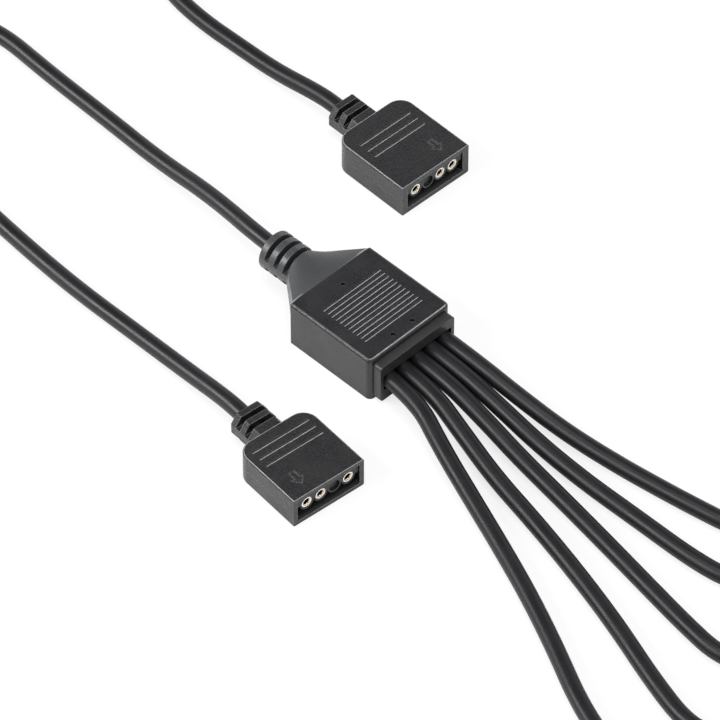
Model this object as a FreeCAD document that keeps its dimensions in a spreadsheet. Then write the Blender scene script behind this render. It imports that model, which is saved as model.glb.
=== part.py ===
import FreeCAD, Part
import math
import os
import Sketcher

V = FreeCAD.Vector
doc = FreeCAD.newDocument("splitter_cable")

# Driving dimensions in millimetres. +X runs from the input boot to the output leads and +Z is up.
# The origin is on the floor, in the middle of the splitter's own box.
sheet = doc.addObject("Spreadsheet::Sheet", "sheet")
sizes = {
    # leads
    "lead_od": 2.75,
    "lead_clearance": 0.05,
    "lead_pitch": 2.8,
    "lead_drop": 1.4,
    # splitter block
    "block_length": 16.5,
    "block_width": 16.7,
    "block_height": 8.25,
    "block_corner": 0.9,
    "block_edge": 0.5,
    "input_axis": 5.0,
    "output_axis": 3.9,
    # taper and ringed boot at the input end
    "taper_length": 6.2,
    "neck_od": 6.4,
    "ring_od": 6.5,
    "ring_pitch": 1.9,
    "ring_count": 3,
    "slot_width": 0.85,
    "slot_web": 1.3,
    "ring_edge": 0.2,
    # cavity for the joints, open at the output end
    "side_wall": 0.9,
    "skin": 1.1,
    "end_wall": 2.0,
    "rail_width": 1.0,
    # grip grooves and locating dimples on the top
    "groove_count": 11,
    "groove_pitch": 0.86,
    "groove_width": 0.34,
    "groove_depth": 0.14,
    "groove_length": 11.8,
    "groove_first": 4.2,
    "dimple_od": 0.75,
    "dimple_depth": 0.6,
    "dimple_back": 2.6,
    "dimple_front": 1.6,
    "dimple_spacing": 4.0,
    # collar that closes the cavity
    "collar_length": 1.5,
    "collar_wall": 0.62,
    "collar_height": 7.0,
    "collar_lift": 0.3,
    "collar_corner": 0.6,
    "tongue_depth": 3.0,
    "tongue_clearance": 0.1,
    # junction board
    "board_length": 9.0,
    "board_thickness": 0.8,
    "board_back_gap": 0.6,
    "track_width": 1.2,
    "track_thickness": 0.12,
    "track_pitch": 2.6,
    "track_first": 1.6,
    "track_reach": 0.15,
    "core_od": 0.6,
    "core_pitch": 0.65,
    "core_gap": 0.1,
    # plugs, with the input plug a little smaller than the output ones
    "input_plug_length": 13.3,
    "input_plug_width": 13.1,
    "input_plug_height": 5.4,
    "output_plug_length": 14.8,
    "output_plug_width": 13.9,
    "output_plug_height": 5.8,
    "plug_corner": 2.6,
    "plug_edge": 0.3,
    "plug_straight": 15.8,
    "boot_length": 5.6,
    "boot_width": 6.0,
    "boot_height": 4.9,
    "boot_bevel_side": 1.1,
    "boot_bevel_drop": 1.6,
    "boot_slot_count": 2,
    "boot_slot_pitch": 1.95,
    "boot_slot_width": 0.95,
    "boot_slot_first": 1.15,
    "boot_web": 1.5,
    "grip_count": 3,
    "grip_pitch": 1.6,
    "grip_first": 11.2,
    "grip_length": 10.4,
    "arrow_length": 2.9,
    "arrow_width": 2.4,
    "arrow_stem": 1.1,
    "arrow_inset": 1.9,
    "arrow_depth": 0.15,
    "arrow_line": 0.2,
    "arrow_side": 3.2,
    "pocket_width": 11.5,
    "pocket_height": 4.1,
    "pocket_depth": 9.0,
    # socket carrier and contacts
    "carrier_clearance": 0.05,
    "carrier_length": 8.6,
    "carrier_recess": 0.25,
    "pin_pitch": 2.54,
    "pin_rise": 0.5,
    "barrel_od": 2.45,
    "contact_od": 1.9,
    "contact_bore": 1.0,
    "contact_depth": 6.0,
    "contact_length": 8.0,
    "contact_recess": 0.05,
    "contact_lip": 0.2,
    "contact_clearance": 0.03,
    "blank_od": 1.9,
    "blank_depth": 0.4,
    # coil of the put-away lead lengths and its tie
    "coil_inner": 9.4,
    "coil_outer": 22.0,
    "coil_height": 5.9,
    "coil_edge": 1.2,
    "coil_x": 48.8,
    "coil_y": 73.2,
    "coil_turn": 132.7,
    "tie_width": 4.0,
    "tie_thickness": 0.6,
}
for row, (alias, size) in enumerate(sizes.items(), start=1):
    sheet.set(f"A{row}", alias)
    sheet.set(f"B{row}", str(size))
    sheet.setAlias(f"B{row}", alias)
doc.recompute()

nodes = []


def term(text):
    """An expression with each name of the sheet written as sheet.name."""
    words = []
    word = ""
    for letter in text + " ":
        if letter.isalnum() or letter in "_.":
            word += letter
        else:
            words.append(f"sheet.{word}" if word in sizes else word)
            words.append(letter)
            word = ""
    return "".join(words).strip()


def value(text):
    """The number that an expression of the sheet gives."""
    found = sheet.evalExpression(term(text))
    return float(getattr(found, "Value", found))


def new_body(label):
    body = doc.addObject("PartDesign::Body", label)
    body.Label = label
    return body


def new_sketch(body, name, role, lift="0"):
    """A sketch on one of the body's origin planes, lifted along that plane's normal."""
    made = body.newObject("Sketcher::SketchObject", f"{body.Name}_{name}")
    plane = next(feature for feature in body.Origin.OriginFeatures if feature.Role == role)
    made.AttachmentSupport = [(plane, "")]
    made.MapMode = "FlatFace"
    made.setExpression(".AttachmentOffset.Base.z", term(lift))
    return made


def pin_point(made, geometry, place, x, y):
    """Ties one point of a sketch to two expressions."""
    for kind, text in (("DistanceX", x), ("DistanceY", y)):
        if text == "0":
            axis = -2 if kind == "DistanceX" else -1
            made.addConstraint(Sketcher.Constraint("PointOnObject", geometry, place, axis))
            continue
        number = made.addConstraint(Sketcher.Constraint(kind, -1, 1, geometry, place, value(text)))
        made.setExpression(f"Constraints[{number}]", term(text))


def outline(made, corners):
    """A closed outline of straight lines through corners given as pairs of expressions."""
    spots = [V(value(x), value(y), 0) for x, y in corners]
    first = made.GeometryCount
    count = len(corners)
    for start, end in zip(spots, spots[1:] + spots[:1]):
        made.addGeometry(Part.LineSegment(start, end))
    for index in range(count):
        after = first + (index + 1) % count
        made.addConstraint(Sketcher.Constraint("Coincident", first + index, 2, after, 1))
    for index, (x, y) in enumerate(corners):
        pin_point(made, first + index, 1, x, y)


def rectangle(made, low_x, high_x, low_y, high_y):
    outline(made, [(low_x, low_y), (high_x, low_y), (high_x, high_y), (low_x, high_y)])


def circle(made, x, y, diameter):
    made.addGeometry(Part.Circle(V(value(x), value(y), 0), V(0, 0, 1), value(diameter) / 2))
    number = made.GeometryCount - 1
    pin_point(made, number, 3, x, y)
    size = made.addConstraint(Sketcher.Constraint("Diameter", number, value(diameter)))
    made.setExpression(f"Constraints[{size}]", term(diameter))


def extrude(body, kind, made, length, turned=False):
    """A Pad or Pocket of a sketch; a Pocket that takes nothing away is an error."""
    doc.recompute()
    before = body.Shape.Volume if kind == "Pocket" else 0
    feature = body.newObject(f"PartDesign::{kind}", f"{made.Name}_{kind.lower()}")
    feature.Profile = made
    feature.setExpression("Length", term(length))
    feature.Reversed = turned
    doc.recompute()
    if kind == "Pocket" and body.Shape.Volume > before - 1e-6:
        raise RuntimeError(f"{feature.Name} cuts nothing")
    return feature


def repeat(body, features, role, pitch, count):
    """A row of copies of some features along an origin axis of the body."""
    pattern = body.newObject("PartDesign::LinearPattern", f"{features[0].Name}_row")
    pattern.Originals = features
    axis = next(found for found in body.Origin.OriginFeatures if found.Role == role)
    pattern.Direction = (axis, [""])
    pattern.setExpression("Length", term(f"{pitch} * ({count} - 1)"))
    pattern.setExpression("Occurrences", term(count))
    body.Tip = pattern
    doc.recompute()
    return pattern


def round_edges(body, name, radius, chosen, kind="Fillet"):
    """Rounds or bevels the edges of the body's tip for which chosen(edge) is true."""
    tip = body.Tip
    picked = [f"Edge{i}" for i, edge in enumerate(tip.Shape.Edges, start=1) if chosen(edge)]
    feature = body.newObject(f"PartDesign::{kind}", f"{body.Name}_{name}")
    feature.Base = (tip, picked)
    feature.setExpression("Radius" if kind == "Fillet" else "Size", term(radius))
    doc.recompute()
    return feature


def near(first, second):
    return abs(first - second) < 1e-4


def upright(edge):
    """True for a straight edge along Z."""
    ends = edge.Vertexes
    return len(ends) == 2 and near(ends[0].X, ends[1].X) and near(ends[0].Y, ends[1].Y)


def level(edge, height):
    """True for an edge that lies wholly at one height."""
    box = edge.BoundBox
    return near(box.ZMin, height) and near(box.ZMax, height)


def cut_groove(body, name, x, top, length):
    """A groove across the top, upright at its rear wall and sloping up to the front."""
    made = new_sketch(body, name, "XZ_Plane", f"0 - {length} / 2")
    front = f"({x} + groove_width)"
    above = f"{top} + groove_depth"
    outline(made, [(x, f"{top} - groove_depth"), (front, top), (front, above), (x, above)])
    return extrude(body, "Pocket", made, length, turned=True)


def place_copy(label, source, x, y, turn):
    """A copy of a finished piece, set on the floor and turned about Z, as a node of its own."""
    copy = doc.addObject("Part::Compound", label)
    copy.Label = label
    copy.Links = source if isinstance(source, list) else [source]
    copy.Placement = FreeCAD.Placement(V(x, y, 0), FreeCAD.Rotation(V(0, 0, 1), turn))
    nodes.append(copy)
    return copy


# Places along X, worked out so that the splitter's box is centred on the origin
boot_run = "ring_pitch * ring_count"
overall = f"({boot_run} + taper_length + block_length + collar_length)"
boot_end = f"(0 - {overall} / 2)"
neck_x = f"({boot_end} + {boot_run})"
back_x = f"({neck_x} + taper_length)"
front_x = f"({back_x} + block_length)"
cavity_x = f"({back_x} + end_wall)"

# Housing of the splitter: a moulded block whose rear end tapers to a round, slotted boot
housing = new_body("splitter_housing")
block = new_sketch(housing, "block", "XY_Plane")
rectangle(block, back_x, front_x, "0 - block_width / 2", "block_width / 2")
extrude(housing, "Pad", block, "block_height")


def on_block_front(edge):
    return upright(edge) and near(edge.CenterOfMass.x, value(front_x))


def on_block_top(edge):
    """True for the top edges of the block, apart from the one that the taper meets."""
    return level(edge, value("block_height")) and not near(edge.BoundBox.XMax, value(back_x))


round_edges(housing, "corners", "block_corner", on_block_front)
round_edges(housing, "top_edge", "block_edge", on_block_top)

rear_face = new_sketch(housing, "rear_face", "YZ_Plane", back_x)
rectangle(rear_face, "block_edge - block_width / 2", "block_width / 2 - block_edge", "0", "block_height")
neck = new_sketch(housing, "neck", "YZ_Plane", neck_x)
circle(neck, "0", "input_axis", "neck_od")
doc.recompute()
taper = housing.newObject("PartDesign::AdditiveLoft", "housing_taper")
taper.Profile = rear_face
taper.Sections = [neck]
taper.Ruled = True
doc.recompute()

boot = new_sketch(housing, "boot", "YZ_Plane", boot_end)
circle(boot, "0", "input_axis", "ring_od")
extrude(housing, "Pad", boot, boot_run)
slot = new_sketch(housing, "slot", "XZ_Plane", "0 - ring_od")
slot_end = f"({boot_end} + ring_pitch)"
slot_x = f"({slot_end} - slot_width)"
rectangle(slot, slot_x, slot_end, "input_axis + slot_web / 2", "input_axis + ring_od")
rectangle(slot, slot_x, slot_end, "input_axis - ring_od", "input_axis - slot_web / 2")
slot_cut = extrude(housing, "Pocket", slot, "ring_od * 2", turned=True)
repeat(housing, [slot_cut], "X_Axis", "ring_pitch", "ring_count")

cavity = new_sketch(housing, "cavity", "YZ_Plane", front_x)
half_wide = "(block_width / 2 - side_wall)"
half_low = f"({half_wide} - rail_width)"
board_top = "(output_axis - core_od / 2 - track_thickness)"
rail_top = f"({board_top} - board_thickness)"
outline(cavity, [
    (f"0 - {half_low}", "skin"), (half_low, "skin"), (half_low, rail_top), (half_wide, rail_top),
    (half_wide, "block_height - skin"), (f"0 - {half_wide}", "block_height - skin"),
    (f"0 - {half_wide}", rail_top), (f"0 - {half_low}", rail_top)])
extrude(housing, "Pocket", cavity, "block_length - end_wall")
bore = new_sketch(housing, "bore", "YZ_Plane", cavity_x)
circle(bore, "0", "input_axis", "lead_od + 2 * lead_clearance")
extrude(housing, "Pocket", bore, f"{cavity_x} - {boot_end}")

groove_cut = cut_groove(housing, "groove", f"({back_x} + groove_first)", "block_height", "groove_length")
repeat(housing, [groove_cut], "X_Axis", "groove_pitch", "groove_count")
dimples = new_sketch(housing, "dimples", "XY_Plane", "block_height")
circle(dimples, f"{back_x} + dimple_back", "0", "dimple_od")
circle(dimples, f"{front_x} - dimple_front", "dimple_spacing / 2", "dimple_od")
circle(dimples, f"{front_x} - dimple_front", "0 - dimple_spacing / 2", "dimple_od")
extrude(housing, "Pocket", dimples, "dimple_depth")
nodes.append(housing)

# Collar that closes the cavity: a flange in front of the block and two tongues inside it
collar = new_body("exit_collar")
flange = new_sketch(collar, "flange", "YZ_Plane", front_x)
collar_top = "(collar_lift + collar_height)"
row_half = "(lead_pitch * 2 + lead_od / 2 + lead_clearance)"
rectangle(flange, f"0 - {row_half} - collar_wall", f"{row_half} + collar_wall", "collar_lift", collar_top)
extrude(collar, "Pad", flange, "collar_length")
collar_run = value("collar_length")
round_edges(collar, "corners", "collar_corner", lambda edge: near(edge.BoundBox.XLength, collar_run))
tongue = new_sketch(collar, "tongue", "YZ_Plane", front_x)
tongue_half = f"({half_wide} - tongue_clearance)"
lower_half = f"({half_low} - tongue_clearance)"
gap_low = "(output_axis - lead_od / 2 - lead_clearance)"
gap_high = "(output_axis + lead_od / 2 + lead_clearance)"
rectangle(tongue, f"0 - {tongue_half}", tongue_half, gap_high, "block_height - skin - tongue_clearance")
rectangle(tongue, f"0 - {lower_half}", lower_half, "skin + tongue_clearance", gap_low)
extrude(collar, "Pad", tongue, "tongue_depth", turned=True)
row_slot = new_sketch(collar, "row_slot", "YZ_Plane", f"{front_x} + collar_length")
rectangle(row_slot, f"0 - {row_half}", row_half, gap_low, gap_high)
extrude(collar, "Pocket", row_slot, "collar_length")
nodes.append(collar)

# Junction board on the housing's rails, with one copper track for each of the three cores
board = new_body("junction_board")
board_x = f"({cavity_x} + board_back_gap)"
panel = new_sketch(board, "panel", "XY_Plane", rail_top)
rectangle(panel, board_x, f"{board_x} + board_length", f"tongue_clearance - {half_wide}", tongue_half)
extrude(board, "Pad", panel, "board_thickness")
nodes.append(board)


def track_x(index):
    return f"({board_x} + track_first + track_pitch * {index})"


tracks = []
track_half = "(lead_pitch * 2 + core_pitch + core_od / 2 + track_reach)"
for index in range(3):
    track = doc.addObject("Part::Box", f"track_{index}")
    track.setExpression("Length", term("track_width"))
    track.setExpression("Width", term(f"2 * {track_half}"))
    track.setExpression("Height", term("track_thickness"))
    track.setExpression("Placement.Base.x", term(f"{track_x(index)} - track_width / 2"))
    track.setExpression("Placement.Base.y", term(f"0 - {track_half}"))
    track.setExpression("Placement.Base.z", term(board_top))
    tracks.append(track)
place_copy("bus_tracks", tracks, 0, 0, 0)


def core(name, start, end, y):
    """One insulated core, a straight wire along X that lies on the tracks."""
    wire = doc.addObject("Part::Cylinder", name)
    wire.setExpression("Radius", term("core_od / 2"))
    wire.setExpression("Height", term(f"{end} - {start}"))
    wire.Placement = FreeCAD.Placement(V(0, 0, 0), FreeCAD.Rotation(V(0, 1, 0), 90))
    wire.setExpression("Placement.Base.x", term(start))
    wire.setExpression("Placement.Base.y", term(y))
    wire.setExpression("Placement.Base.z", term("output_axis"))
    return wire


lead_start = f"({front_x} - tongue_depth)"
input_cores = []
output_cores = []
for index in range(3):
    offset = f"core_pitch * ({index} - 1)"
    input_cores.append(core(f"input_core_{index}", cavity_x, f"({track_x(index)} - core_gap)", offset))
    for lead in range(5):
        y = f"(lead_pitch * ({lead} - 2) + {offset})"
        output_cores.append(core(f"core_{lead}_{index}", f"({track_x(index)} + core_gap)", lead_start, y))
place_copy("input_cores", input_cores, 0, 0, 0)
place_copy("output_cores", output_cores, 0, 0, 0)



def pocket_floor(kind):
    return f"(({kind}_plug_height - pocket_height) / 2)"


def pocket_roof(kind):
    return f"({pocket_floor(kind)} + pocket_height)"


def pin_axis(kind):
    return f"({kind}_plug_height / 2 + pin_rise)"


# Plug housing: a flat moulded box with a slotted boot behind and a pocket for the sockets in front
def make_plug(kind, side):
    """One plug housing; side is 1 or -1, the end of the row of sockets that its arrow marks."""
    plug = new_body(f"{kind}_housing")
    length = f"{kind}_plug_length"
    width = f"{kind}_plug_width"
    height = f"{kind}_plug_height"
    axis = f"({height} / 2)"
    shell = new_sketch(plug, "shell", "XY_Plane")
    rectangle(shell, f"0 - {length}", "0", f"0 - {width} / 2", f"{width} / 2")
    extrude(plug, "Pad", shell, height)

    def at_rear(edge):
        return upright(edge) and not near(edge.CenterOfMass.x, 0)

    def on_rim(edge):
        """True for the edges of the top and of the bottom, apart from the front ones."""
        return (level(edge, value(height)) or level(edge, 0)) and not near(edge.BoundBox.XMin, 0)

    round_edges(plug, "rear_corners", "plug_corner", at_rear)
    round_edges(plug, "edges", "plug_edge", on_rim)
    # Boot: eight-sided rings, joined by a web at each side, between slots cut from above and from below
    boot_end_x = f"(0 - {length} - boot_length)"
    boot = new_sketch(plug, "boot", "YZ_Plane", boot_end_x)
    wide = "boot_width / 2"
    flat = f"({wide} - boot_bevel_side)"
    top = f"{axis} + boot_height / 2"
    bottom = f"{axis} - boot_height / 2"
    outline(boot, [
        (f"0 - {flat}", bottom), (flat, bottom), (wide, f"{bottom} + boot_bevel_drop"),
        (wide, f"{top} - boot_bevel_drop"), (flat, top), (f"0 - {flat}", top),
        (f"0 - {wide}", f"{top} - boot_bevel_drop"), (f"0 - {wide}", f"{bottom} + boot_bevel_drop")])
    extrude(plug, "Pad", boot, "boot_length + plug_edge")
    round_edges(plug, "boot_rim", "ring_edge", lambda edge: near(edge.BoundBox.XMax, value(boot_end_x)))
    slot = new_sketch(plug, "slot", "XZ_Plane", "0 - boot_width")
    start = f"({boot_end_x} + boot_slot_first)"
    end = f"({start} + boot_slot_width)"
    rectangle(slot, start, end, f"{axis} + boot_web / 2", f"{axis} + boot_height")
    rectangle(slot, start, end, f"{axis} - boot_height", f"{axis} - boot_web / 2")
    slot_cut = extrude(plug, "Pocket", slot, "boot_width * 2", turned=True)
    repeat(plug, [slot_cut], "X_Axis", "boot_slot_pitch", "boot_slot_count")
    bore = new_sketch(plug, "bore", "YZ_Plane", boot_end_x)
    circle(bore, "0", axis, "lead_od + 2 * lead_clearance")
    extrude(plug, "Pocket", bore, "boot_length", turned=True)
    pocket = new_sketch(plug, "pocket", "YZ_Plane")
    rectangle(pocket, "0 - pocket_width / 2", "pocket_width / 2", pocket_floor(kind), pocket_roof(kind))
    extrude(plug, "Pocket", pocket, "pocket_depth")
    grip_cut = cut_groove(plug, "grip", "(0 - grip_first)", height, "grip_length")
    repeat(plug, [grip_cut], "X_Axis", "grip_pitch", "grip_count")
    # Arrow: an engraved outline that points to the front
    arrow = new_sketch(plug, "arrow", "XY_Plane", height)
    middle = f"arrow_side * ({side})"
    for inset in ("0", "arrow_line"):
        tip = f"0 - arrow_inset - {inset} * 2"
        neck = f"0 - arrow_inset - arrow_length / 2 + {inset}"
        tail = f"0 - arrow_inset - arrow_length + {inset}"
        head = f"(arrow_width / 2 - {inset} * 2)"
        stem = f"(arrow_stem / 2 - {inset})"
        outline(arrow, [
            (tip, middle), (neck, f"{middle} + {head}"), (neck, f"{middle} + {stem}"),
            (tail, f"{middle} + {stem}"), (tail, f"{middle} - {stem}"), (neck, f"{middle} - {stem}"),
            (neck, f"{middle} - {head}")])
    extrude(plug, "Pocket", arrow, "arrow_depth")
    return plug


def make_carrier(kind, blank):
    """Socket carrier: four barrels hung from a slab under the pocket's roof, one of them blank."""
    body = new_body(f"{kind}_carrier")
    slab = new_sketch(body, "slab", "YZ_Plane", "0 - carrier_recess")
    reach = "(pocket_width / 2 - carrier_clearance)"
    rectangle(slab, f"0 - {reach}", reach, pin_axis(kind), pocket_roof(kind))
    extrude(body, "Pad", slab, "carrier_length", turned=True)
    for place in range(4):
        barrel = new_sketch(body, f"barrel_{place}", "YZ_Plane", "0 - carrier_recess")
        circle(barrel, f"pin_pitch * ({place} - 1.5)", pin_axis(kind), "barrel_od")
        extrude(body, "Pad", barrel, "carrier_length", turned=True)
    for place in range(4):
        hole = new_sketch(body, f"hole_{place}", "YZ_Plane", "0 - carrier_recess")
        wide = "blank_od" if place == blank else "contact_od + 2 * contact_clearance"
        deep = "blank_depth" if place == blank else "carrier_length"
        circle(hole, f"pin_pitch * ({place} - 1.5)", pin_axis(kind), wide)
        extrude(body, "Pocket", hole, deep)
    return body


def make_contact(label):
    """Contact: a turned socket with a bored, bevelled mouth."""
    body = new_body(label)
    bar = new_sketch(body, "bar", "YZ_Plane", "0 - carrier_recess - contact_recess")
    circle(bar, "0", "0", "contact_od")
    extrude(body, "Pad", bar, "contact_length", turned=True)
    mouth = new_sketch(body, "mouth", "YZ_Plane", "0 - carrier_recess - contact_recess")
    circle(mouth, "0", "0", "contact_bore")
    extrude(body, "Pocket", mouth, "contact_depth")
    rim = math.pi * value("contact_bore")
    face = value("0 - carrier_recess - contact_recess")
    round_edges(
        body, "lip", "contact_lip", lambda edge: near(edge.BoundBox.XMin, face) and near(edge.Length, rim),
        kind="Chamfer")
    return body


contact = make_contact("contact")


def make_contact_row(kind, blank):
    """The three contacts of one plug, at the places that are not blank."""
    row = []
    for place in range(4):
        if place == blank:
            continue
        made = doc.addObject("Part::Compound", f"{kind}_contact_{place}")
        made.Links = [contact]
        made.setExpression("Placement.Base.y", term(f"pin_pitch * ({place} - 1.5)"))
        made.setExpression("Placement.Base.z", term(pin_axis(kind)))
        row.append(made)
    return row


# The input plug has its blank in the third place and the output plugs in the second
blanks = {"input": 2, "output": 1}
plug_housings = {"input": make_plug("input", -1), "output": make_plug("output", 1)}
carriers = {kind: make_carrier(kind, blank) for kind, blank in blanks.items()}
contact_rows = {kind: make_contact_row(kind, blank) for kind, blank in blanks.items()}

# Each plug lies flat on the floor: the middle of its front face and its turn from +X
plugs = {
    "input_plug": ("input", 23.7, -27.0, -5.7),
    "output_plug_1": ("output", 90.4, 40.3, -45.0),
    "output_plug_2": ("output", 100.2, 57.6, -18.0),
    "output_plug_3": ("output", 101.4, 73.6, -8.0),
    "output_plug_4": ("output", 101.4, 88.8, -2.0),
    "output_plug_5": ("output", -9.6, 28.7, -1.7),
}
for name, (kind, x, y, turn) in plugs.items():
    place_copy(f"{name}_housing", plug_housings[kind], x, y, turn)
    place_copy(f"{name}_carrier", carriers[kind], x, y, turn)
    place_copy(f"{name}_contacts", contact_rows[kind], x, y, turn)


def plug_end(name):
    """The last two points of a lead: on the plug's axis behind the boot, and at the boot's inner end."""
    kind, x, y, turn = plugs[name]
    angle = math.radians(turn)
    inside = value(f"{kind}_plug_length")
    rise = value(f"{kind}_plug_height / 2")
    places = []
    for behind in (inside + value("plug_straight"), inside):
        places.append((x - behind * math.cos(angle), y - behind * math.sin(angle), rise))
    return places


# Coil of the put-away lengths: a flat ring with rounded rims, held by a strap around its section
coil = new_body("coil_ring")
section = new_sketch(coil, "section", "XZ_Plane")
rectangle(section, "coil_inner", "coil_outer", "0", "coil_height")
doc.recompute()
turned = coil.newObject("PartDesign::Revolution", "coil_turned")
turned.Profile = section
turned.ReferenceAxis = (section, ["V_Axis"])
turned.Angle = 360
doc.recompute()
round_edges(coil, "rims", "coil_edge", lambda edge: level(edge, value("coil_height")))
tie = new_body("coil_tie")
strap = new_sketch(tie, "strap", "XZ_Plane", "0 - tie_width / 2")
strap_outer = "coil_outer + tie_thickness"
rectangle(strap, "coil_inner - tie_thickness", strap_outer, "0", "coil_height + tie_thickness")
rectangle(strap, "coil_inner", "coil_outer", "tie_thickness", "coil_height")
extrude(tie, "Pad", strap, "tie_width")
for made in (coil, tie):
    made.Placement = FreeCAD.Placement(V(0, 0, 0), FreeCAD.Rotation(V(0, 0, 1), value("coil_turn")))
    made.setExpression("Placement.Base.x", term("coil_x"))
    made.setExpression("Placement.Base.y", term("coil_y"))
lead_coil = doc.addObject("Part::Cut", "lead_coil")
lead_coil.Base = coil
lead_coil.Tool = tie
doc.recompute()
nodes.append(lead_coil)
nodes.append(tie)

floor = value("lead_drop")
high_out = value("output_axis")
high_in = value("input_axis")
# Routes of the leads, as points chosen along the photograph and the put-away side
routes = {
    "input_lead": [
        (value(cavity_x), 0, high_in), (-27, 0, high_in), (-53, 3.6, floor), (-70, 4.7, floor),
        (-81, 3.6, floor), (-89.5, -1.5, floor), (-93.5, -10, floor), (-89.5, -18.5, floor),
        (-81, -23, floor), (-70, -24, floor), (-55, -23.3, floor), (-40, -23.6, floor), (-25, -24, 1.5),
        *plug_end("input_plug")],
    "output_lead_5": [
        (value(lead_start), 5.6, high_out), (20, 5.6, 3.9), (29.5, 5.7, 2.9), (39, 6.2, 1.8),
        (48.5, 7.2, floor), (58, 8.5, floor), (63.5, 9.4, floor), (67.8, 10.2, floor),
        (71.4, 12.9, floor), (73.35, 17, floor), (73.2, 21.5, floor), (71, 25.4, floor),
        (63.5, 30.5, floor), (53.5, 37.8, floor), (41, 46.6, floor), (25.2, 63.2, floor), (12, 80, floor),
        (3, 90.5, floor), (-8, 95.6, floor), (-21, 92, floor), (-37, 80.5, floor), (-53, 68.3, floor),
        (-68, 58.3, floor), (-78, 51.6, floor), (-83.3, 44.5, floor), (-83, 36.5, floor),
        (-76.5, 30.7, floor), (-67.5, 29.5, floor), (-56, 29.3, 1.5), *plug_end("output_plug_5")],
    "output_lead_4": [
        (value(lead_start), 2.8, high_out), (20, 2.8, 3.9), (29.5, 2.3, 2.9), (38, 1.8, 1.8),
        (47.5, 1.5, floor), (58, 1.6, floor), (68, 2, floor), (75, 3.3, floor), (80.1, 7.4, floor),
        (81.9, 13.6, floor), (80, 20, floor), (74.8, 26.1, floor), (65.5, 34.1, floor),
        (53.6, 42.2, floor), (41.4, 51.3, floor), (31.8, 60.9, floor)],
    "output_lead_3": [
        (value(lead_start), 0, high_out), (20, 0, 3.9), (29.5, -1, 2.9), (38, -2.1, 1.8),
        (47.5, -3.3, floor), (58, -5, floor), (69, -6.9, floor), (76, -7.9, floor), (82.6, -8.7, floor),
        (87, -7, floor), (90.1, -3.4, floor), (91.1, 1.3, floor), (88.6, 10, floor), (83.8, 19.3, floor),
        (77.2, 28.6, floor), (66.8, 37, floor), (55.6, 44.9, floor), (43.4, 53.5, floor), (34, 63, floor)],
    "output_lead_2": [
        (value(lead_start), -2.8, high_out), (20, -2.8, 3.9), (29.5, -4.8, 2.9), (38, -7.1, 1.8),
        (47.5, -9.2, floor), (58, -11.8, floor), (69, -15, floor), (80, -18.7, floor),
        (88.2, -20.8, floor), (92.8, -19.7, floor), (96.3, -16.6, floor), (97.9, -12.2, floor),
        (96.9, -4.5, floor), (94.2, 4, floor), (90.2, 13.4, floor), (85.3, 23.2, floor),
        (78.8, 32.6, floor), (68.2, 40, floor), (57.5, 47.5, floor), (45.7, 55.8, floor),
        (36.4, 65.2, floor)],
    "output_lead_1": [
        (value(lead_start), -5.6, high_out), (20, -5.6, 3.9), (29.5, -8.7, 2.9), (38.8, -12.6, 1.8),
        (47.7, -16.1, floor), (56.9, -19.9, floor), (66.2, -24.3, floor), (75.6, -29.1, floor),
        (84, -32, floor), (92.5, -30.2, floor), (99, -24.3, floor), (102, -15.2, floor),
        (100.9, -5.5, floor), (97.6, 4.5, floor), (93.6, 15, floor), (88.2, 25.7, floor),
        (80.4, 35.1, floor), (69.8, 43, floor), (59.5, 49.9, floor), (47.9, 58.2, floor),
        (38.7, 67.4, floor)],
    "output_tail_4": [
        (49.6, 93.5, 4.3), *plug_end("output_plug_4")],
    "output_tail_3": [
        (55.3, 89.1, 4.3), *plug_end("output_plug_3")],
    "output_tail_2": [
        (57.3, 84.4, 4.3), *plug_end("output_plug_2")],
    "output_tail_1": [
        (57.5, 79.9, 4.3), *plug_end("output_plug_1")],
}


# Share of the shorter run that each bend of a lead takes up
bend_share = 0.45


def lead_path(points):
    """Straight runs joined by tangent arcs, each as large as its two runs allow; returns wire and radii."""
    spots = [V(*point) for point in points]
    edges = []
    radii = []
    at = spots[0]
    for before, corner, after in zip(spots, spots[1:], spots[2:]):
        back = (before - corner).normalize()
        ahead = (after - corner).normalize()
        half_turn = (math.pi - back.getAngle(ahead)) / 2
        tangent = bend_share * min((before - corner).Length, (after - corner).Length)
        radius = tangent / math.tan(half_turn)
        start = corner + back * tangent
        end = corner + ahead * tangent
        middle = corner + (back + ahead).normalize() * (radius / math.cos(half_turn) - radius)
        edges.append(Part.LineSegment(at, start).toShape())
        edges.append(Part.Arc(start, middle, end).toShape())
        radii.append(round(radius, 1))
        at = end
    edges.append(Part.LineSegment(at, spots[-1]).toShape())
    return Part.Wire(edges), radii


def make_lead(label, points, trimmed):
    """A lead's jacket swept along its route; a trimmed one stops at the coil's surface."""
    wire, radii = lead_path(points)
    first = wire.Edges[0]
    start = first.valueAt(first.FirstParameter)
    ring = Part.Wire(Part.makeCircle(value("lead_od") / 2, start, first.tangentAt(first.FirstParameter)))
    shape = wire.makePipeShell([ring], True, True)
    expected = wire.Length * math.pi * value("lead_od") ** 2 / 4
    print(label, "length", round(wire.Length, 1), "volume ratio", round(shape.Volume / expected, 4),
          "smallest radius", min(radii), "radii", radii)
    tube = doc.addObject("Part::Feature", f"{label}_tube" if trimmed else label)
    tube.Shape = shape
    if trimmed:
        cut = doc.addObject("Part::Cut", label)
        cut.Base = tube
        cut.Tool = coil
        tube = cut
    tube.Label = label
    nodes.append(tube)


for label, points in routes.items():
    make_lead(label, points, trimmed=label[-1] in "1234")
doc.recompute()

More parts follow.
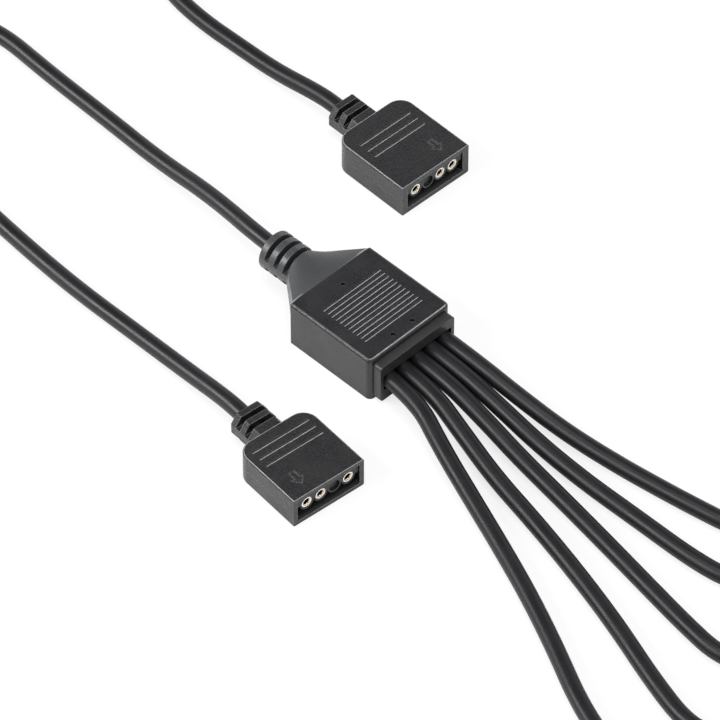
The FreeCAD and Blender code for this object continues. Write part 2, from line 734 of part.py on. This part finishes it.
broken = [made.Name for made in doc.Objects if "Invalid" in made.State or "Error" in made.State]
if broken:
    raise RuntimeError(f"failed objects: {broken}")
for node in nodes:
    if node.Shape.isNull() or not node.Shape.isValid():
        raise RuntimeError(f"bad shape: {node.Label}")
os.makedirs("parts", exist_ok=True)
for node in nodes:
    node.Shape.exportStep(f"parts/{node.Label}.step")
print(len(nodes), "nodes")
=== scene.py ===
import math
import bpy
import numpy as np
from mathutils import Matrix, Vector


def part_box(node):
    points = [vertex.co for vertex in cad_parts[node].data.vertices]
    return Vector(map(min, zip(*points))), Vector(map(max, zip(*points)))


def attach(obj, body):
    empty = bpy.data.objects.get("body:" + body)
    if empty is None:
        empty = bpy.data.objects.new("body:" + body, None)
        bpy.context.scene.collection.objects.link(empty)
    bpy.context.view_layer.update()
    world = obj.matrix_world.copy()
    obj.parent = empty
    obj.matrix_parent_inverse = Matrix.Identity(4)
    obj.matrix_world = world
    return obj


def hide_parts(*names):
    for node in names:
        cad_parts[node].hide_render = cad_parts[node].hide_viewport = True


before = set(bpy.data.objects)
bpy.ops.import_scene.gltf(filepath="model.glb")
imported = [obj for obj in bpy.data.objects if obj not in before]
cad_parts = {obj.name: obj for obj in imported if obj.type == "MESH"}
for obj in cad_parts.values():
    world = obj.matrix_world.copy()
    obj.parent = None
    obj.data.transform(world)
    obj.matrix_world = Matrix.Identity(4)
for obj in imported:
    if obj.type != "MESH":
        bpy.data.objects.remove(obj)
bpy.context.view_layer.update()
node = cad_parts
scene = bpy.context.scene

# Camera: looks down on the splitter from its output side, half way between its length and its width.
# It stands far off with a long lens, and its place is set from a floor point beside the block.
elevation = math.radians(47.06)
azimuth = math.radians(45)
lens_mm = 300
distance = 0.8855
aim = Vector((0.0055, 0, 0))
aim_right = 0.00174
aim_up = 0.00245
level_reach = math.cos(elevation)
back = Vector((math.sin(azimuth) * level_reach, -math.cos(azimuth) * level_reach, math.sin(elevation)))
right = Vector((math.cos(azimuth), math.sin(azimuth), 0))
up = back.cross(right)
camera = bpy.data.objects.new("camera", bpy.data.cameras.new("camera"))
scene.collection.objects.link(camera)
camera.data.sensor_width = 36
camera.data.lens = lens_mm
camera.data.clip_end = 20
stand = aim + back * distance - right * aim_right - up * aim_up
camera.matrix_world = Matrix.Translation(stand) @ Matrix((right, up, back)).transposed().to_4x4()
scene.camera = camera

# Floor: a sheet of white paper, which the camera sees brightened so that only soft shadows stay on it.
# It lies a hair under the pieces, and its light is what the sides of the black mouldings mirror.
floor_reach = 3
floor_drop = 0.00005
paper_white = 0.74
paper_glow = 0.77
floor_mesh = bpy.data.meshes.new("floor")
floor_corners = [
    (-floor_reach, -floor_reach, 0), (floor_reach, -floor_reach, 0),
    (floor_reach, floor_reach, 0), (-floor_reach, floor_reach, 0)]
floor_mesh.from_pydata(floor_corners, [], [(0, 1, 2, 3)])
floor = bpy.data.objects.new("floor", floor_mesh)
floor.location.z = -floor_drop
scene.collection.objects.link(floor)
paper = bpy.data.materials.new("paper")
paper.use_nodes = True
nodes, links = paper.node_tree.nodes, paper.node_tree.links
shader = nodes["Principled BSDF"]
shader.inputs["Base Color"].default_value = (paper_white, paper_white, paper_white, 1)
shader.inputs["Roughness"].default_value = 0.9
shader.inputs["Specular IOR Level"].default_value = 0.1
glow = nodes.new("ShaderNodeEmission")
ray = nodes.new("ShaderNodeLightPath")
share = nodes.new("ShaderNodeMath")
share.operation = "MULTIPLY"
share.inputs[1].default_value = paper_glow
blend = nodes.new("ShaderNodeMixShader")
links.new(ray.outputs["Is Camera Ray"], share.inputs[0])
links.new(share.outputs["Value"], blend.inputs["Fac"])
links.new(shader.outputs["BSDF"], blend.inputs[1])
links.new(glow.outputs["Emission"], blend.inputs[2])
links.new(blend.outputs["Shader"], nodes["Material Output"].inputs["Surface"])
floor.data.materials.append(paper)


# Studio light: a broad panel overhead, a long one on the left that draws the streaks along the leads,
# and a small one at the back right that catches the front edges. White walls, dark ceiling.
def add_panel(name, at, long_side, short_side, power):
    """A soft light that faces the middle of the floor, with its long side as near to X as that lets it."""
    panel = bpy.data.objects.new(name, bpy.data.lights.new(name, "AREA"))
    panel.data.shape = "RECTANGLE"
    panel.data.size = long_side
    panel.data.size_y = short_side
    panel.data.energy = power
    facing = Vector(at).normalized()
    across = facing.cross(Vector((1, 0, 0))).normalized()
    turned = Matrix((across.cross(facing), across, facing)).transposed()
    panel.matrix_world = Matrix.Translation(at) @ turned.to_4x4()
    scene.collection.objects.link(panel)


add_panel("top_panel", at=(0.15, -0.15, 1.2), long_side=0.7, short_side=0.7, power=12)
add_panel("left_panel", at=(-0.5, -0.69, 0.6), long_side=0.95, short_side=0.34, power=11)
add_panel("right_panel", at=(0.42, 0.5, 0.82), long_side=0.3, short_side=0.3, power=2.5)
scene.view_settings.view_transform = "Standard"
wall_light = (1.0, 1.0, 1.02, 1)
ceiling_light = (0.1, 0.1, 0.11, 1)
wall_top = 0.54
ceiling_start = 0.68
world = bpy.data.worlds.new("studio")
scene.world = world
world.use_nodes = True
nodes, links = world.node_tree.nodes, world.node_tree.links
around = nodes["Background"]
heading = nodes.new("ShaderNodeTexCoord")
split = nodes.new("ShaderNodeSeparateXYZ")
fade = nodes.new("ShaderNodeValToRGB")
fade.color_ramp.elements[0].position = wall_top
fade.color_ramp.elements[0].color = wall_light
fade.color_ramp.elements[1].position = ceiling_start
fade.color_ramp.elements[1].color = ceiling_light
links.new(heading.outputs["Generated"], split.inputs["Vector"])
links.new(split.outputs["Z"], fade.inputs["Fac"])
links.new(fade.outputs["Color"], around.inputs["Color"])
seen = nodes.new("ShaderNodeBackground")
seen.inputs["Color"].default_value = (1, 1, 1, 1)
choose = nodes.new("ShaderNodeMixShader")
ray = nodes.new("ShaderNodeLightPath")
links.new(ray.outputs["Is Camera Ray"], choose.inputs["Fac"])
links.new(around.outputs["Background"], choose.inputs[1])
links.new(seen.outputs["Background"], choose.inputs[2])
links.new(choose.outputs["Shader"], nodes["World Output"].inputs["Surface"])


# Splitter housing: one black moulding with a satin skin, a block that tapers to a ringed boot.
# The sloping lips of its eleven grooves and its front rim get a painted highlight, a grey lighter than the
# skin, and the taper and the boot get a paler base colour than the block, as painted light.
def start_material(name, color):
    """A material with its shader, and the tree's nodes and links to build on."""
    made = bpy.data.materials.new(name)
    made.use_nodes = True
    shader = made.node_tree.nodes["Principled BSDF"]
    shader.inputs["Base Color"].default_value = (*color, 1)
    return made, shader, made.node_tree.nodes, made.node_tree.links


def add_math(nodes, links, operation, first, second):
    """One Math node; each side is a number or the socket that feeds it."""
    made = nodes.new("ShaderNodeMath")
    made.operation = operation
    for socket, side in zip(made.inputs, (first, second)):
        if isinstance(side, (int, float)):
            socket.default_value = side
        else:
            links.new(side, socket)
    return made.outputs["Value"]


def add_range(nodes, links, source, start, end, low, high):
    """A smooth step of source from low, at start, to high, at end."""
    made = nodes.new("ShaderNodeMapRange")
    made.interpolation_type = "SMOOTHSTEP"
    made.inputs["From Min"].default_value = start
    made.inputs["From Max"].default_value = end
    made.inputs["To Min"].default_value = low
    made.inputs["To Max"].default_value = high
    links.new(source, made.inputs["Value"])
    return made.outputs["Result"]


def add_noise(nodes, links, scale, detail):
    """Noise on the piece's own coordinates, with scale in cells to a metre."""
    place = nodes.new("ShaderNodeTexCoord")
    made = nodes.new("ShaderNodeTexNoise")
    made.inputs["Scale"].default_value = scale
    made.inputs["Detail"].default_value = detail
    links.new(place.outputs["Object"], made.inputs["Vector"])
    return made.outputs["Fac"]


def add_skin(shader, nodes, links, grain, depth, gloss, edge, line=None):
    """Moulded skin: fine grain as a bump over softened edges, and a gloss that drifts between two values."""
    height = add_noise(nodes, links, scale=grain, detail=4)
    if line is not None:
        height = add_math(nodes, links, "ADD", height, line)
    soft = nodes.new("ShaderNodeBevel")
    soft.samples = 6
    soft.inputs["Radius"].default_value = edge
    bump = nodes.new("ShaderNodeBump")
    bump.inputs["Distance"].default_value = depth
    bump.inputs["Strength"].default_value = 0.7
    links.new(height, bump.inputs["Height"])
    links.new(soft.outputs["Normal"], bump.inputs["Normal"])
    links.new(bump.outputs["Normal"], shader.inputs["Normal"])
    drift = add_noise(nodes, links, scale=240, detail=3)
    dullness = add_range(nodes, links, drift, start=0.3, end=0.7, low=gloss[0], high=gloss[1])
    links.new(dullness, shader.inputs["Roughness"])


def add_place(nodes, links):
    """The X, Y and Z sockets of the piece's own coordinates."""
    place = nodes.new("ShaderNodeTexCoord")
    split = nodes.new("ShaderNodeSeparateXYZ")
    links.new(place.outputs["Object"], split.inputs["Vector"])
    return split.outputs


def add_normal(nodes, links):
    """The X, Y and Z sockets of the way that a face looks."""
    shape = nodes.new("ShaderNodeNewGeometry")
    split = nodes.new("ShaderNodeSeparateXYZ")
    links.new(shape.outputs["True Normal"], split.inputs["Vector"])
    return split.outputs


def add_tint(nodes, links, amount, under, over):
    """A colour that goes from under to over with amount; under is a colour or the socket that feeds it."""
    made = nodes.new("ShaderNodeMix")
    made.data_type = "RGBA"
    links.new(amount, made.inputs["Factor"])
    if isinstance(under, tuple):
        made.inputs["A"].default_value = (*under, 1)
    else:
        links.new(under, made.inputs["A"])
    made.inputs["B"].default_value = (*over, 1)
    return made.outputs["Result"]


def add_edge_highlights(nodes, links, width):
    """Painted highlight share on sharp edges, where a softened normal turns away from the face's own, or 0.
    """
    soft = nodes.new("ShaderNodeBevel")
    soft.samples = 8
    soft.inputs["Radius"].default_value = width
    shape = nodes.new("ShaderNodeNewGeometry")
    agree = nodes.new("ShaderNodeVectorMath")
    agree.operation = "DOT_PRODUCT"
    links.new(soft.outputs["Normal"], agree.inputs[0])
    links.new(shape.outputs["True Normal"], agree.inputs[1])
    return add_range(nodes, links, agree.outputs["Value"], start=0.8, end=0.97, low=highlight_share, high=0)


def add_specks(nodes, links, scale, under, over):
    """A skin with a fine paler speckle in it, scale in cells to a metre."""
    speckle = add_noise(nodes, links, scale, detail=3)
    amount = add_range(nodes, links, speckle, start=0.42, end=0.72, low=0, high=1)
    return add_tint(nodes, links, amount, under, over)


def add_painted_highlights(shader, nodes, links, skin, top, edge, sides=1):
    """Paints a highlight on the slopes just under the top, as a groove's lip and a rounded rim, and on sharp
    edges lower.

    The rims that run along X get only the share of it that sides gives.
    """
    facing = add_normal(nodes, links)
    height = add_place(nodes, links)["Z"]
    not_steep = add_range(nodes, links, facing["Z"], start=0.84, end=0.88, low=0, high=1)
    not_level = add_range(nodes, links, facing["Z"], start=0.965, end=0.985, low=1, high=0)
    amount = add_math(nodes, links, "MULTIPLY", not_steep, not_level)
    near_top = add_range(nodes, links, height, top - highlight_drop, top - highlight_drop / 2, 0, 1)
    amount = add_math(nodes, links, "MULTIPLY", amount, near_top)
    if sides < 1:
        across = add_math(nodes, links, "ABSOLUTE", facing["Y"], 0)
        side_share = add_range(nodes, links, across, start=0.1, end=0.2, low=1, high=sides)
        amount = add_math(nodes, links, "MULTIPLY", amount, side_share)
    below_top = add_range(nodes, links, height, top - 2 * edge_highlight_drop, top - edge_highlight_drop, 1, 0)
    edges = add_math(nodes, links, "MULTIPLY", add_edge_highlights(nodes, links, edge), below_top)
    amount = add_math(nodes, links, "MAXIMUM", amount, edges)
    patches = add_noise(nodes, links, scale=900, detail=2)
    uneven = add_range(nodes, links, patches, start=0.25, end=0.75, low=0.7, high=1)
    amount = add_math(nodes, links, "MULTIPLY", amount, uneven)
    links.new(add_tint(nodes, links, amount, skin, painted_highlight_grey), shader.inputs["Base Color"])


def finish_piece(name, material):
    """Gives a piece its one material."""
    node[name].data.materials.clear()
    node[name].data.materials.append(material)


skin_black = (0.0075, 0.0075, 0.0088)
taper_painted_light = (0.034, 0.035, 0.037)
speck_black = (0.013, 0.013, 0.0145)
# Painted highlight: the grey on groove lips, rims and sharp edges, the band under the top where it lies, and
# its share
painted_highlight_grey = (0.28, 0.28, 0.28)
highlight_drop = 0.00009
edge_highlight_drop = 0.00015
highlight_share = 0.8
side_highlight_share = 0.25
block_rear = -0.00305
taper_blend = 0.0002
housing_top = float(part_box("splitter_housing")[1][2])
satin_black, shader, nodes, links = start_material("satin_black", skin_black)
along_block = add_place(nodes, links)["X"]
on_taper = add_range(nodes, links, along_block, block_rear - taper_blend, block_rear, low=1, high=0)
skin = add_specks(nodes, links, scale=4200, under=skin_black, over=speck_black)
# Painted light: the taper and the boot get a paler base colour than the block, so they look more brightly
# lit
skin = add_tint(nodes, links, on_taper, skin, taper_painted_light)
# Painted highlights on the groove lips, rims and sharp edges; rims that run along X get a smaller share
add_painted_highlights(shader, nodes, links, skin, housing_top, edge=0.00008, sides=side_highlight_share)
add_skin(shader, nodes, links, grain=4200, depth=0.00006, gloss=(0.25, 0.36), edge=0.00016)
finish_piece("splitter_housing", satin_black)

# Exit collar: the plug of the block's open end, moulded from the same stock with a duller face.
# Its rim stands in front of the block and the five leads leave through its mouth.
collar_black, shader, nodes, links = start_material("collar_black", (0.017, 0.017, 0.0175))
add_skin(shader, nodes, links, grain=5200, depth=0.00004, gloss=(0.36, 0.46), edge=0.00012)
finish_piece("exit_collar", collar_black)

# Junction board: green laminate with three tinned copper tracks, closed in by the housing.
# The insulated cores of the leads are soldered to the tracks.
laminate, shader, nodes, links = start_material("laminate", (0.02, 0.13, 0.05))
add_skin(shader, nodes, links, grain=3000, depth=0.00002, gloss=(0.3, 0.45), edge=0.00005)
finish_piece("junction_board", laminate)
track_copper, shader, nodes, links = start_material("track_copper", (0.72, 0.42, 0.28))
shader.inputs["Metallic"].default_value = 1
add_skin(shader, nodes, links, grain=6000, depth=0.00001, gloss=(0.22, 0.38), edge=0.00002)
finish_piece("bus_tracks", track_copper)
core_grey, shader, nodes, links = start_material("core_grey", (0.4, 0.4, 0.41))
add_skin(shader, nodes, links, grain=4000, depth=0.00001, gloss=(0.35, 0.5), edge=0.00002)
finish_piece("input_cores", core_grey)
finish_piece("output_cores", core_grey)

# Plug housings: flat black mouldings with a grained skin, a slotted boot and three grip grooves.
# A fine parting line runs round each at half its height, where the two halves of the mould met. The upper
# edge of the front and the arrow get painted highlights, and the floor of the mouth is painted paler than
# the skin, as painted light in its shade.
plug_black = (0.006, 0.006, 0.0064)
parting_width = 0.00007
parting_height = 1.6
arrow_depth = 0.00015
arrow_slack = 0.2
arrow_painted_highlight = (0.075, 0.075, 0.075)
level_limit = 0.999
up_limit = 0.9
front_edge_painted_highlight = (0.2, 0.2, 0.2)
edge_line = 0.00006
mouth_painted_light = (0.03, 0.03, 0.031)
# Each plug: the middle of its front on the floor, and its turn in degrees
plug_fronts = {
    "input_plug": (0.0237, -0.027, -5.7),
    "output_plug_1": (0.0904, 0.0403, -45),
    "output_plug_2": (0.1002, 0.0576, -18),
    "output_plug_3": (0.1014, 0.0736, -8),
    "output_plug_4": (0.1014, 0.0888, -2),
    "output_plug_5": (-0.0096, 0.0287, -1.7),
}


def front_axis(plug):
    """The way that a plug's mouth faces, and how far along it the front lies."""
    x, y, turn = plug_fronts[plug]
    angle = math.radians(turn)
    axis = Vector((math.cos(angle), math.sin(angle), 0))
    return axis, axis.dot(Vector((x, y, 0)))


def add_along(nodes, links, source, axis):
    """How far a vector reaches along an axis."""
    made = nodes.new("ShaderNodeVectorMath")
    made.operation = "DOT_PRODUCT"
    links.new(source, made.inputs[0])
    made.inputs[1].default_value = axis
    return made.outputs["Value"]


def add_front_edge(nodes, links, plug, top):
    """1 along the upper edge of a plug's front, on both of the faces that meet there."""
    axis, front = front_axis(plug)
    place = nodes.new("ShaderNodeTexCoord")
    along = add_along(nodes, links, place.outputs["Object"], axis)
    near_front = add_range(nodes, links, along, front - 2 * edge_line, front - edge_line, 0, 1)
    height = add_place(nodes, links)["Z"]
    near_top = add_range(nodes, links, height, top - 2 * edge_line, top - edge_line, 0, 1)
    return add_math(nodes, links, "MULTIPLY", near_front, near_top)


def add_arrow_floor(nodes, links, top):
    """1 on the level floor of the arrow's engraved line, found by its height and its upright normal."""
    level = add_math(nodes, links, "GREATER_THAN", add_normal(nodes, links)["Z"], level_limit)
    height = add_place(nodes, links)["Z"]
    above = add_math(nodes, links, "GREATER_THAN", height, top - (1 + arrow_slack) * arrow_depth)
    under = add_math(nodes, links, "LESS_THAN", height, top - (1 - arrow_slack) * arrow_depth)
    found = add_math(nodes, links, "MULTIPLY", above, under)
    return add_math(nodes, links, "MULTIPLY", found, level)


def add_mouth_floor(nodes, links, top):
    """1 on the floor of a plug's mouth, the only face below half its height that looks up."""
    looks_up = add_math(nodes, links, "GREATER_THAN", add_normal(nodes, links)["Z"], up_limit)
    low = add_math(nodes, links, "LESS_THAN", add_place(nodes, links)["Z"], top / 2)
    return add_math(nodes, links, "MULTIPLY", looks_up, low)


def make_grained_black(plug):
    """One plug's skin: its parting line, painted highlights on arrow, front edge and grooves, painted light
    on the mouth floor.
    """
    top = float(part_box(f"{plug}_housing")[1][2])
    made, shader, nodes, links = start_material(f"{plug}_black", plug_black)
    off = add_math(nodes, links, "SUBTRACT", add_place(nodes, links)["Z"], top / 2)
    off = add_math(nodes, links, "ABSOLUTE", off, 0)
    line = add_range(nodes, links, off, start=0, end=parting_width, low=parting_height, high=0)
    skin = add_specks(nodes, links, scale=3400, under=plug_black, over=speck_black)
    # Painted highlight: the arrow's engraved floor gets a paler grey than the skin
    skin = add_tint(nodes, links, add_arrow_floor(nodes, links, top), skin, arrow_painted_highlight)
    # Painted highlight: a pale grey line along the upper edge of the front
    skin = add_tint(nodes, links, add_front_edge(nodes, links, plug, top), skin, front_edge_painted_highlight)
    # Painted light: the mouth's floor, which lies in shade, gets a paler grey than the skin
    skin = add_tint(nodes, links, add_mouth_floor(nodes, links, top), skin, mouth_painted_light)
    # Painted highlights on the groove lips, rims and sharp edges
    add_painted_highlights(shader, nodes, links, skin, top, edge=0.00017)
    add_skin(shader, nodes, links, grain=3300, depth=0.00012, gloss=(0.27, 0.37), edge=0.00024, line=line)
    return made


for plug in plug_fronts:
    finish_piece(f"{plug}_housing", make_grained_black(plug))

# Socket carriers: the dull black insert in each plug's mouth, four barrels with one left blank.
# It is pushed in under the roof of the mouth.
insert_black, shader, nodes, links = start_material("insert_black", (0.006, 0.006, 0.0065))
add_skin(shader, nodes, links, grain=4000, depth=0.00003, gloss=(0.4, 0.5), edge=0.00008)
for plug in plug_fronts:
    finish_piece(f"{plug}_carrier", insert_black)

# Contacts: turned sockets of gold flashed metal, three to a plug, pressed into their barrels.
# The metal is pale on the rim that faces the front, and the lip and the bore are darkened to a deep gold as
# painted shade.
pale_gold = (0.88, 0.84, 0.74)
painted_shade_gold = (0.3, 0.21, 0.1)


def make_gold(plug):
    """The metal of one plug's contacts, pale where it faces the plug's front and a dark gold elsewhere, as
    painted shade.
    """
    made, shader, nodes, links = start_material(f"{plug}_gold", pale_gold)
    shader.inputs["Metallic"].default_value = 1
    shape = nodes.new("ShaderNodeNewGeometry")
    facing = add_along(nodes, links, shape.outputs["True Normal"], front_axis(plug)[0])
    # Painted shade: the faces that turn away from the front, the lip and the bore, go to a dark gold
    painted_shade_part = add_range(nodes, links, facing, start=0.45, end=0.95, low=1, high=0)
    links.new(add_tint(nodes, links, painted_shade_part, pale_gold, painted_shade_gold), shader.inputs["Base Color"])
    add_skin(shader, nodes, links, grain=7000, depth=0.00002, gloss=(0.22, 0.36), edge=0.0003)
    return made


for plug in plug_fronts:
    finish_piece(f"{plug}_contacts", make_gold(plug))


# Leads: limp round jackets of soft black vinyl, each on one smooth line, the input one with more gloss.
# They leave the boot and the collar, lie on the floor and end in their plugs' boots.
def make_jacket(name, shine, gloss):
    """Black vinyl with a slight drawn grain; gloss is the range of its roughness."""
    made, shader, nodes, links = start_material(name, (0.0065, 0.0065, 0.0075))
    shader.inputs["Specular IOR Level"].default_value = shine
    add_skin(shader, nodes, links, grain=1500, depth=0.000012, gloss=gloss, edge=0.00002)
    return made


input_black = make_jacket("input_black", shine=0.34, gloss=(0.3, 0.38))
jacket_black = make_jacket("jacket_black", shine=0.26, gloss=(0.34, 0.42))
lead_width = 0.00275
lying = 0.0014
routes = {
    "input": [
        (-0.001, 0, 0.005), (-0.0165, 0.0001, 0.005), (-0.03, 0.0021, 0.0037), (-0.043, 0.003, 0.0017),
        (-0.055, 0.0038, lying), (-0.068, 0.0042, lying), (-0.0822, 0.0052, lying),
        (-0.0904, 0.001, lying), (-0.0932, -0.0095, lying), (-0.0892, -0.0182, lying),
        (-0.08, -0.0222, lying), (-0.069, -0.0224, lying), (-0.057, -0.0222, lying),
        (-0.0445, -0.0234, lying), (-0.032, -0.0241, lying), (-0.0195, -0.024, lying),
        (-0.0085, -0.0241, 0.0016)],
    "output_5": [
        (0.0105, 0.0056, 0.0039), (0.02, 0.0056, 0.0039), (0.0295, 0.0057, 0.0029), (0.039, 0.0062, 0.0018),
        (0.0485, 0.0072, lying), (0.058, 0.0085, lying), (0.0635, 0.0094, lying), (0.0678, 0.0102, lying),
        (0.0714, 0.0129, lying), (0.07335, 0.017, lying), (0.0732, 0.0215, lying), (0.071, 0.0254, lying),
        (0.0635, 0.0305, lying), (0.0535, 0.0378, lying), (0.041, 0.0466, lying), (0.0252, 0.0632, lying),
        (0.012, 0.08, lying), (0.003, 0.0905, lying), (-0.008, 0.0956, lying), (-0.021, 0.092, lying),
        (-0.037, 0.0805, lying), (-0.053, 0.0683, lying), (-0.068, 0.0583, lying), (-0.078, 0.0516, lying),
        (-0.0835, 0.045, lying), (-0.0828, 0.0378, lying), (-0.0765, 0.0332, lying),
        (-0.0685, 0.03, lying), (-0.0605, 0.029, lying), (-0.0525, 0.0291, lying),
        (-0.044, 0.0291, 0.0016)],
    "output_4": [
        (0.0105, 0.0028, 0.0039), (0.02, 0.0028, 0.0039), (0.0295, 0.0023, 0.0029), (0.038, 0.0018, 0.0018),
        (0.0475, 0.0015, lying), (0.058, 0.0016, lying), (0.0684, 0.0016, lying), (0.0757, 0.0026, lying),
        (0.0801, 0.0074, lying), (0.0819, 0.0136, lying), (0.08, 0.02, lying), (0.0748, 0.0261, lying),
        (0.0655, 0.0341, lying), (0.0536, 0.0422, lying), (0.0414, 0.0513, lying)],
    "output_3": [
        (0.0105, 0, 0.0039), (0.02, 0, 0.0039), (0.0295, -0.001, 0.0029), (0.038, -0.0021, 0.0018),
        (0.0475, -0.0033, lying), (0.058, -0.005, lying), (0.069, -0.0069, lying), (0.0762, -0.0081, lying),
        (0.0829, -0.0089, lying), (0.0872, -0.0072, lying), (0.0901, -0.0034, lying),
        (0.0911, 0.0013, lying), (0.0886, 0.01, lying), (0.0838, 0.0193, lying), (0.0772, 0.0286, lying),
        (0.0668, 0.037, lying), (0.0556, 0.0449, lying), (0.0434, 0.0535, lying)],
    "output_2": [
        (0.0105, -0.0028, 0.0039), (0.02, -0.0028, 0.0039), (0.0295, -0.0053, 0.0029),
        (0.038, -0.0074, 0.0018), (0.0475, -0.0092, lying), (0.058, -0.0118, lying), (0.069, -0.015, lying),
        (0.08, -0.0189, lying), (0.0884, -0.0212, lying), (0.0931, -0.0201, lying),
        (0.0963, -0.0166, lying), (0.0979, -0.0122, lying), (0.0969, -0.0045, lying),
        (0.0942, 0.004, lying), (0.0902, 0.0134, lying), (0.0853, 0.0232, lying), (0.0788, 0.0326, lying),
        (0.0682, 0.04, lying), (0.0575, 0.0475, lying), (0.0457, 0.0558, lying)],
    "output_1": [
        (0.0105, -0.0056, 0.0039), (0.02, -0.0056, 0.0039), (0.0293, -0.0095, 0.0029),
        (0.0388, -0.0128, 0.0018), (0.0477, -0.0161, lying), (0.0569, -0.0199, lying),
        (0.0662, -0.0243, lying), (0.0756, -0.0292, lying), (0.0841, -0.0321, lying),
        (0.0925, -0.0302, lying), (0.099, -0.0243, lying), (0.102, -0.0152, lying),
        (0.1009, -0.0055, lying), (0.0976, 0.0045, lying), (0.0936, 0.015, lying), (0.0882, 0.0257, lying),
        (0.0804, 0.0351, lying), (0.0698, 0.043, lying), (0.0595, 0.0499, lying), (0.0479, 0.0582, lying)],
}
# Length of each kind of plug and the height of its axis
input_box, output_box = (0.0133, 0.0027), (0.0148, 0.0029)
boot_length = 0.0056
# Coil: the radius of each lead's turns and the degrees that it is wound through
turns = {
    "output_1": (0.011, 545),
    "output_2": (0.0141, 530),
    "output_3": (0.0172, 515),
    "output_4": (0.0203, 495),
}
coil_middle = np.array([0.0488, 0.0732])
coil_along = np.array([-0.6786, 0.7345])
coil_outward = np.array([0.7345, 0.6786])
coil_rise = 0.0029
climb_start, climb_end = 235, 295
widest_step = 30
# Where a lead comes to its plug: how far behind the inner end of the boot, and how far above the axis
bend_behind, bend_lift = 0.0158, 0.0013
settle_behind, settle_lift = 0.0108, 0.0002
straight_behind = 0.0104


def behind_plug(plug, behind, lift=0):
    """A point on the plug's axis, that far behind the inner end of its boot."""
    x, y, turn = plug_fronts[plug]
    length, height = input_box if plug == "input_plug" else output_box
    angle = math.radians(turn)
    reach = length + behind
    return (x - reach * math.cos(angle), y - reach * math.sin(angle), height + lift)


def on_turn(degrees, reach):
    """A point of the coil, so many degrees on from where the leads come in."""
    angle = math.radians(degrees)
    return coil_middle + reach * (coil_along * math.sin(angle) - coil_outward * math.cos(angle))


def wind(name):
    """Control points of a lead's turns: a circle about the coil's middle that climbs once onto itself."""
    radius, end = turns[name]
    count = math.ceil(end / widest_step)
    step = end / count
    points = []
    for number in range(count):
        degrees = step * (number + 0.5)
        x, y = on_turn(degrees, radius / math.cos(math.radians(step / 2)))
        climb = min(max((degrees - climb_start) / (climb_end - climb_start), 0), 1)
        points.append((x, y, lying + coil_rise * climb * climb * (3 - 2 * climb)))
    return points


for name, points in routes.items():
    number = name[-1]
    plug = "input_plug" if name == "input" else f"output_plug_{number}"
    stands_for = ["input_lead" if name == "input" else f"output_lead_{number}"]
    if name in turns:
        radius, end = turns[name]
        leave = on_turn(end, radius)
        bend = behind_plug(plug, bend_behind, bend_lift)
        halfway = ((leave[0] + bend[0]) / 2, (leave[1] + bend[1]) / 2, lying + coil_rise)
        points = points + wind(name) + [halfway, bend, behind_plug(plug, settle_behind, settle_lift)]
        stands_for += [f"output_tail_{number}", "lead_coil"]
    else:
        points = points + [behind_plug(plug, straight_behind)]
    points = points + [behind_plug(plug, boot_length), behind_plug(plug, 0)]
    curve = bpy.data.curves.new(f"{name}_jacket", "CURVE")
    curve.dimensions = "3D"
    curve.bevel_depth = lead_width / 2
    curve.bevel_resolution = 6
    curve.resolution_u = 8
    curve.use_fill_caps = True
    curve.materials.append(input_black if name == "input" else jacket_black)
    line = curve.splines.new("NURBS")
    line.points.add(len(points) - 1)
    for spot, point in zip(line.points, points):
        spot.co = (*point, 1)
    line.order_u = 3
    line.use_endpoint_u = True
    lead = bpy.data.objects.new(f"{name}_jacket", curve)
    scene.collection.objects.link(lead)
    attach(lead, "root")
    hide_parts(*stands_for)

# Tie: a strap of soft black band round one side of the coil, which keeps the put-away turns together.
# It is cut from woven hook tape, so its face has a fine close weave.
tape_black, shader, nodes, links = start_material("tape_black", (0.012, 0.012, 0.013))
add_skin(shader, nodes, links, grain=2600, depth=0.00006, gloss=(0.55, 0.75), edge=0.0001)
finish_piece("coil_tie", tape_black)
